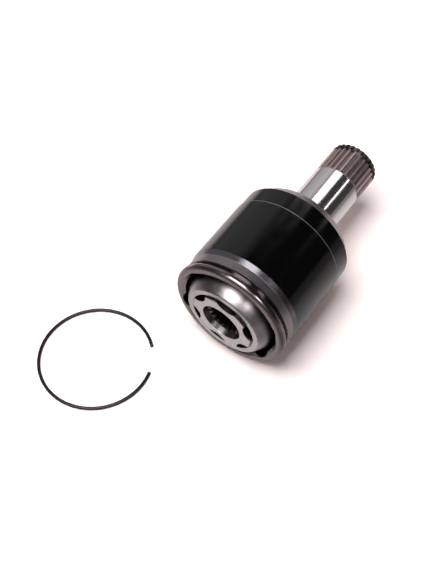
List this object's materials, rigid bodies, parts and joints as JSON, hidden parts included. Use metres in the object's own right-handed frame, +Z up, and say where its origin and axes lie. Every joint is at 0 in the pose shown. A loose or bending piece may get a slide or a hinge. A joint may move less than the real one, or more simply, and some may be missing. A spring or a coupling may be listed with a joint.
{
  "type": "cv joint",
  "caption": "Plunging constant-velocity joint on its side: black cup with splined stub shaft, ball cage and star-shaped inner race in its mouth, wire retaining ring lying beside it.",
  "frame": {"origin": "articulation centre: the middle of the ball ring, where the housing axis and the inner race axis cross", "axes": "+X along the housing axis, from the open mouth to the splined end of the stub shaft; +Z up, with the joint lying on its side"},
  "size_m": [0.2075, 0.1233, 0.068],
  "materials": {
    "housing_steel": "satin black coating on the barrel, machined steel at the mouth, the rear taper and the stub shaft",
    "cage_steel": "ground steel",
    "race_steel": "ground steel faces, darker splined bore",
    "ball_steel": "polished bearing steel",
    "spring_wire": "black oxide spring steel"
  },
  "bodies": {
    "cup": {"housing": "housing_steel", "stop_ring": "spring_wire", "retaining_ring": "spring_wire"},
    "tilt_balls": {"ball_1": "ball_steel", "ball_4": "ball_steel"},
    "race": {"inner_race": "race_steel"},
    "ball_cage": {"cage": "cage_steel"},
    "rolling_ball_2": {"ball_2": "ball_steel"},
    "rolling_ball_3": {"ball_3": "ball_steel"},
    "rolling_ball_5": {"ball_5": "ball_steel"},
    "rolling_ball_6": {"ball_6": "ball_steel"}
  },
  "joints": [
    {"name": "plunge", "type": "slide", "parent": "cup", "child": "tilt_balls", "axis": [1, 0, 0], "range_m": [-0.002, 0.022]},
    {"name": "race_tilt", "type": "hinge", "parent": "tilt_balls", "child": "race", "pos_m": [0, 0, 0], "axis": [0, -0.7385, -0.6743], "range_deg": [-22.9, 13.1]},
    {"name": "cage_tilt", "type": "hinge", "parent": "tilt_balls", "child": "ball_cage", "pos_m": [0.002, 0, 0], "axis": [0, -0.7385, -0.6743], "range_deg": [-11.55, 6.65]},
    {"name": "ball_2_roll", "type": "slide", "parent": "tilt_balls", "child": "rolling_ball_2", "axis": [1, 0, 0], "range_m": [-0.0024, 0.00412]},
    {"name": "ball_3_roll", "type": "slide", "parent": "tilt_balls", "child": "rolling_ball_3", "axis": [1, 0, 0], "range_m": [-0.0024, 0.00412]},
    {"name": "ball_5_roll", "type": "slide", "parent": "tilt_balls", "child": "rolling_ball_5", "axis": [1, 0, 0], "range_m": [-0.00412, 0.0024]},
    {"name": "ball_6_roll", "type": "slide", "parent": "tilt_balls", "child": "rolling_ball_6", "axis": [1, 0, 0], "range_m": [-0.00412, 0.0024]}
  ],
  "couplings": [
    {"joint": "cage_tilt", "follows": "race_tilt", "ratio": 0.5},
    {"joint": "ball_2_roll", "follows": "race_tilt", "m_per_rad": -0.010059},
    {"joint": "ball_3_roll", "follows": "race_tilt", "m_per_rad": -0.010059},
    {"joint": "ball_5_roll", "follows": "race_tilt", "m_per_rad": 0.010059},
    {"joint": "ball_6_roll", "follows": "race_tilt", "m_per_rad": 0.010059}
  ]
}
